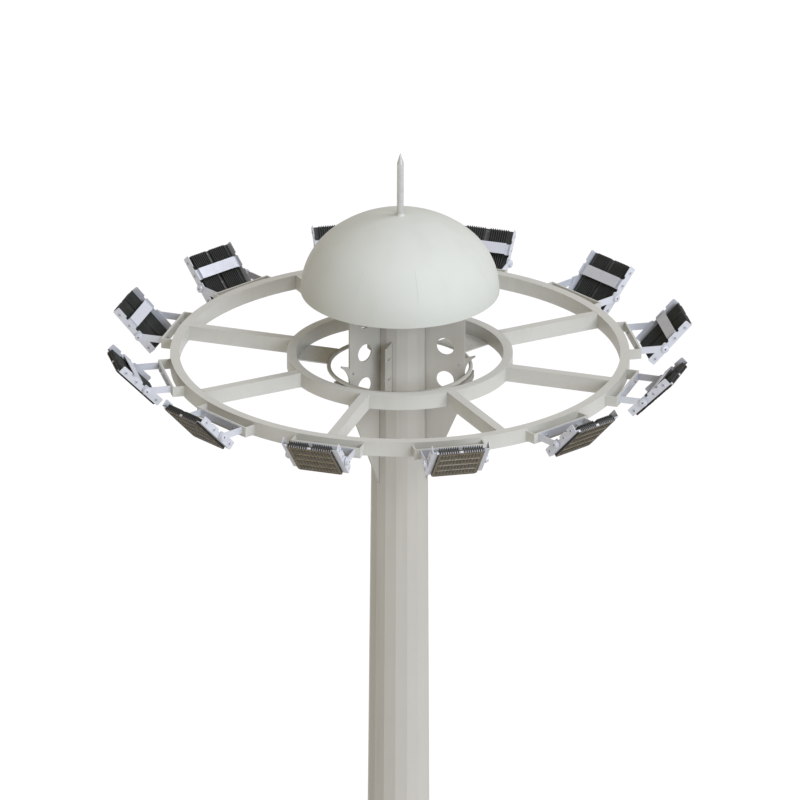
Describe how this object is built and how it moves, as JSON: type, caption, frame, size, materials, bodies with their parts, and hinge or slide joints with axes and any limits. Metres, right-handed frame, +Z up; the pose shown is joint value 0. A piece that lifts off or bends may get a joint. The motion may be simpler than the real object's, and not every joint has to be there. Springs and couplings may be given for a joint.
{
  "type": "high mast floodlight tower",
  "caption": "Tall tapered steel mast on a bolted flange, with a domed head and a lowering ring that carries tilting LED floodlights.",
  "frame": {"origin": "centre of the underside of the base flange, at ground level", "axes": "+Z up along the mast; one floodlight looks along +X, and the service door faces -Y"},
  "size_m": [3.8376, 3.8376, 30.004],
  "materials": {
    "mast_steel": "satin light grey over galvanised steel",
    "carriage_steel": "satin light grey over galvanised steel",
    "dome_shell": "satin glass-fibre shell",
    "rod_steel": "galvanised",
    "lamp_alloy": "powder-coated silver grey",
    "sink_black": "matt black anodised",
    "led_panel": "dark lens plate",
    "shoe_rubber": "matt"
  },
  "bodies": {
    "mast": {"base_flange": "mast_steel", "base_gussets": "mast_steel", "lower_pole": "mast_steel", "middle_pole": "mast_steel", "upper_pole": "mast_steel", "head_plate": "mast_steel", "door_frame": "mast_steel", "service_door": "mast_steel", "dome_cap": "dome_shell", "lightning_rod": "rod_steel", "head_fins": "mast_steel", "stop_tabs": "mast_steel", "guide_plates": "mast_steel"},
    "carriage": {"outer_ring": "carriage_steel", "inner_ring": "carriage_steel", "spokes": "carriage_steel", "guide_hoop": "carriage_steel", "hoop_arms": "carriage_steel", "guide_shoes": "shoe_rubber", "lamp_brackets": "carriage_steel", "lamp_yokes": "lamp_alloy"},
    "lamp_01": {"lamp_01_frame": "lamp_alloy", "lamp_01_heat_sink": "sink_black", "lamp_01_led_panel": "led_panel"},
    "lamp_02": {"lamp_02_frame": "lamp_alloy", "lamp_02_heat_sink": "sink_black", "lamp_02_led_panel": "led_panel"},
    "lamp_03": {"lamp_03_frame": "lamp_alloy", "lamp_03_heat_sink": "sink_black", "lamp_03_led_panel": "led_panel"},
    "lamp_04": {"lamp_04_frame": "lamp_alloy", "lamp_04_heat_sink": "sink_black", "lamp_04_led_panel": "led_panel"},
    "lamp_05": {"lamp_05_frame": "lamp_alloy", "lamp_05_heat_sink": "sink_black", "lamp_05_led_panel": "led_panel"},
    "lamp_06": {"lamp_06_frame": "lamp_alloy", "lamp_06_heat_sink": "sink_black", "lamp_06_led_panel": "led_panel"},
    "lamp_07": {"lamp_07_frame": "lamp_alloy", "lamp_07_heat_sink": "sink_black", "lamp_07_led_panel": "led_panel"},
    "lamp_08": {"lamp_08_frame": "lamp_alloy", "lamp_08_heat_sink": "sink_black", "lamp_08_led_panel": "led_panel"},
    "lamp_09": {"lamp_09_frame": "lamp_alloy", "lamp_09_heat_sink": "sink_black", "lamp_09_led_panel": "led_panel"},
    "lamp_10": {"lamp_10_frame": "lamp_alloy", "lamp_10_heat_sink": "sink_black", "lamp_10_led_panel": "led_panel"},
    "lamp_11": {"lamp_11_frame": "lamp_alloy", "lamp_11_heat_sink": "sink_black", "lamp_11_led_panel": "led_panel"},
    "lamp_12": {"lamp_12_frame": "lamp_alloy", "lamp_12_heat_sink": "sink_black", "lamp_12_led_panel": "led_panel"}
  },
  "joints": [
    {"name": "carriage_lift", "type": "slide", "parent": "mast", "child": "carriage", "axis": [0, 0, 1], "range_m": [-26.7, 0]},
    {"name": "lamp_01_tilt", "type": "hinge", "parent": "carriage", "child": "lamp_01", "pos_m": [1.728, 0, 28.553], "axis": [0, -1, 0], "range_deg": [-45, 45]},
    {"name": "lamp_02_tilt", "type": "hinge", "parent": "carriage", "child": "lamp_02", "pos_m": [1.49649, 0.864, 28.553], "axis": [0.5, -0.866, 0], "range_deg": [-45, 45]},
    {"name": "lamp_03_tilt", "type": "hinge", "parent": "carriage", "child": "lamp_03", "pos_m": [0.864, 1.49649, 28.553], "axis": [0.866, -0.5, 0], "range_deg": [-45, 45]},
    {"name": "lamp_04_tilt", "type": "hinge", "parent": "carriage", "child": "lamp_04", "pos_m": [0, 1.728, 28.553], "axis": [1, 0, 0], "range_deg": [-45, 45]},
    {"name": "lamp_05_tilt", "type": "hinge", "parent": "carriage", "child": "lamp_05", "pos_m": [-0.864, 1.49649, 28.553], "axis": [0.866, 0.5, 0], "range_deg": [-45, 45]},
    {"name": "lamp_06_tilt", "type": "hinge", "parent": "carriage", "child": "lamp_06", "pos_m": [-1.49649, 0.864, 28.553], "axis": [0.5, 0.866, 0], "range_deg": [-45, 45]},
    {"name": "lamp_07_tilt", "type": "hinge", "parent": "carriage", "child": "lamp_07", "pos_m": [-1.728, 0, 28.553], "axis": [0, 1, 0], "range_deg": [-45, 45]},
    {"name": "lamp_08_tilt", "type": "hinge", "parent": "carriage", "child": "lamp_08", "pos_m": [-1.49649, -0.864, 28.553], "axis": [-0.5, 0.866, 0], "range_deg": [-45, 45]},
    {"name": "lamp_09_tilt", "type": "hinge", "parent": "carriage", "child": "lamp_09", "pos_m": [-0.864, -1.49649, 28.553], "axis": [-0.866, 0.5, 0], "range_deg": [-45, 45]},
    {"name": "lamp_10_tilt", "type": "hinge", "parent": "carriage", "child": "lamp_10", "pos_m": [0, -1.728, 28.553], "axis": [-1, 0, 0], "range_deg": [-45, 45]},
    {"name": "lamp_11_tilt", "type": "hinge", "parent": "carriage", "child": "lamp_11", "pos_m": [0.864, -1.49649, 28.553], "axis": [-0.866, -0.5, 0], "range_deg": [-45, 45]},
    {"name": "lamp_12_tilt", "type": "hinge", "parent": "carriage", "child": "lamp_12", "pos_m": [1.49649, -0.864, 28.553], "axis": [-0.5, -0.866, 0], "range_deg": [-45, 45]}
  ]
}
